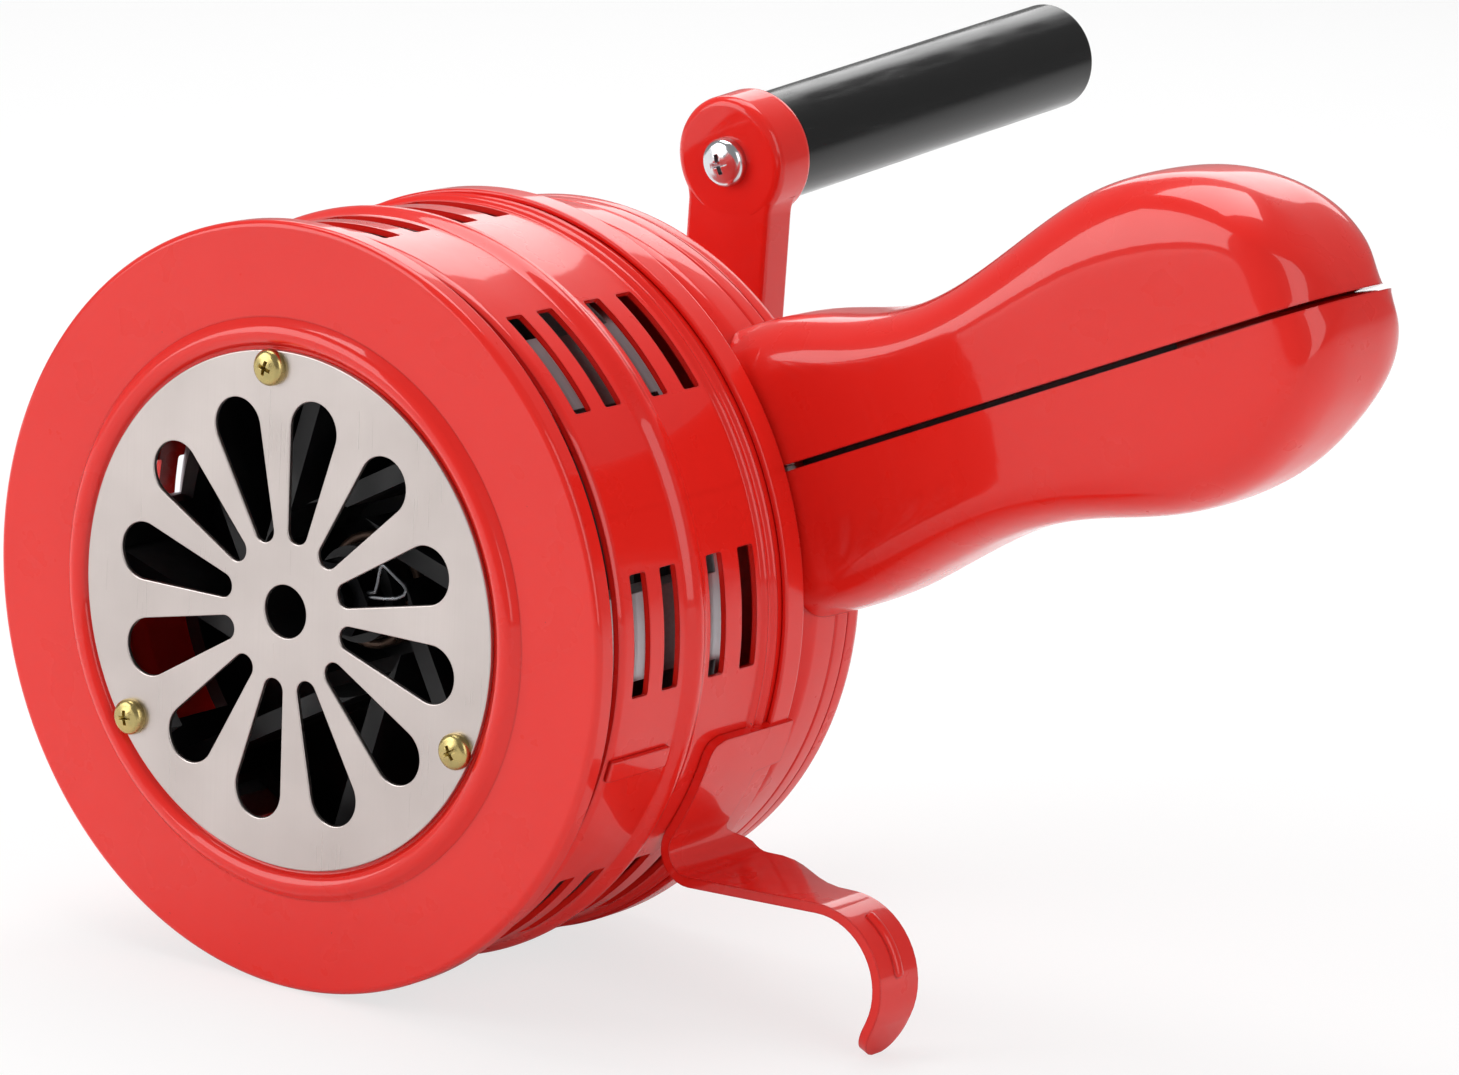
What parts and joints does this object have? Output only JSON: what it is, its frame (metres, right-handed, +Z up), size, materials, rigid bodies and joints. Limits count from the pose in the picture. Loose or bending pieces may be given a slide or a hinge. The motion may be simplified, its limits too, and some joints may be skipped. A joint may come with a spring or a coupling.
{
  "type": "hand crank siren",
  "caption": "Hand-cranked siren with a slotted drum, ported rotor, step-up gear train, crank arm with a turning handle, side grip and sheet hook.",
  "frame": {"origin": "on the drum axis, half way along the straight wall of the front cover's rim", "axes": "+Y along the drum axis from the air intake to the crank, +Z up from the surface it lies on, +X to the side that the grip points to"},
  "size_m": [0.1915, 0.1825, 0.1262],
  "materials": {
    "red_gloss_paint": "gloss",
    "stainless_sheet": "satin",
    "yellow_zinc": "plated",
    "bright_zinc": "plated",
    "chrome": "polished",
    "cast_aluminium": "as cast and turned",
    "black_plastic": "semi gloss",
    "black_paint": "semi gloss",
    "gear_steel": "machined",
    "greased_wire": "greased",
    "bronze": "sintered",
    "grey_steel": "plain"
  },
  "bodies": {
    "housing": {"front_cover": "red_gloss_paint", "grille_plate": "stainless_sheet", "grille_screws": "yellow_zinc", "stator": "cast_aluminium", "casing_band": "red_gloss_paint", "rear_cover": "red_gloss_paint", "drum_screws": "bright_zinc", "gear_case": "red_gloss_paint", "gear_cap": "red_gloss_paint", "gear_cap_screws": "bright_zinc", "layshaft_pin": "gear_steel", "rotor_bearings": "gear_steel", "crank_bushes": "bronze", "grip_upper": "red_gloss_paint", "grip_lower": "red_gloss_paint", "grip_screws": "bright_zinc", "grip_bracket": "grey_steel", "bracket_screws": "bright_zinc", "hook": "red_gloss_paint"},
    "rotor": {"rotor": "black_paint", "rotor_shaft": "gear_steel", "rotor_nut": "bright_zinc", "hub_spring": "greased_wire", "rotor_pinion": "gear_steel", "bearing_inner_rings": "gear_steel"},
    "layshaft": {"intermediate_gear": "gear_steel"},
    "crank": {"crank_gear": "gear_steel", "crank_gear_pin": "gear_steel", "crank_shaft": "gear_steel", "crank_arm": "red_gloss_paint", "crank_washers": "bright_zinc", "crank_nut": "bright_zinc", "handle_spindle": "gear_steel", "handle_screw": "chrome"},
    "handle": {"crank_handle": "black_plastic"}
  },
  "joints": [
    {"name": "crank_spin", "type": "hinge", "parent": "housing", "child": "crank", "pos_m": [0, 0.085, 0], "axis": [0, 1, 0], "continuous": true},
    {"name": "layshaft_spin", "type": "hinge", "parent": "housing", "child": "layshaft", "pos_m": [-0.02273, 0.056, -0.00979], "axis": [0, 1, 0], "continuous": true},
    {"name": "rotor_spin", "type": "hinge", "parent": "housing", "child": "rotor", "pos_m": [0, 0.02, 0], "axis": [0, 1, 0], "continuous": true},
    {"name": "handle_spin", "type": "hinge", "parent": "crank", "child": "handle", "pos_m": [0.00198, 0.1374, 0.05675], "axis": [0.003, 0.9962, 0.0871], "continuous": true}
  ],
  "couplings": [
    {"joint": "layshaft_spin", "follows": "crank_spin", "ratio": -4},
    {"joint": "rotor_spin", "follows": "crank_spin", "ratio": 16}
  ]
}
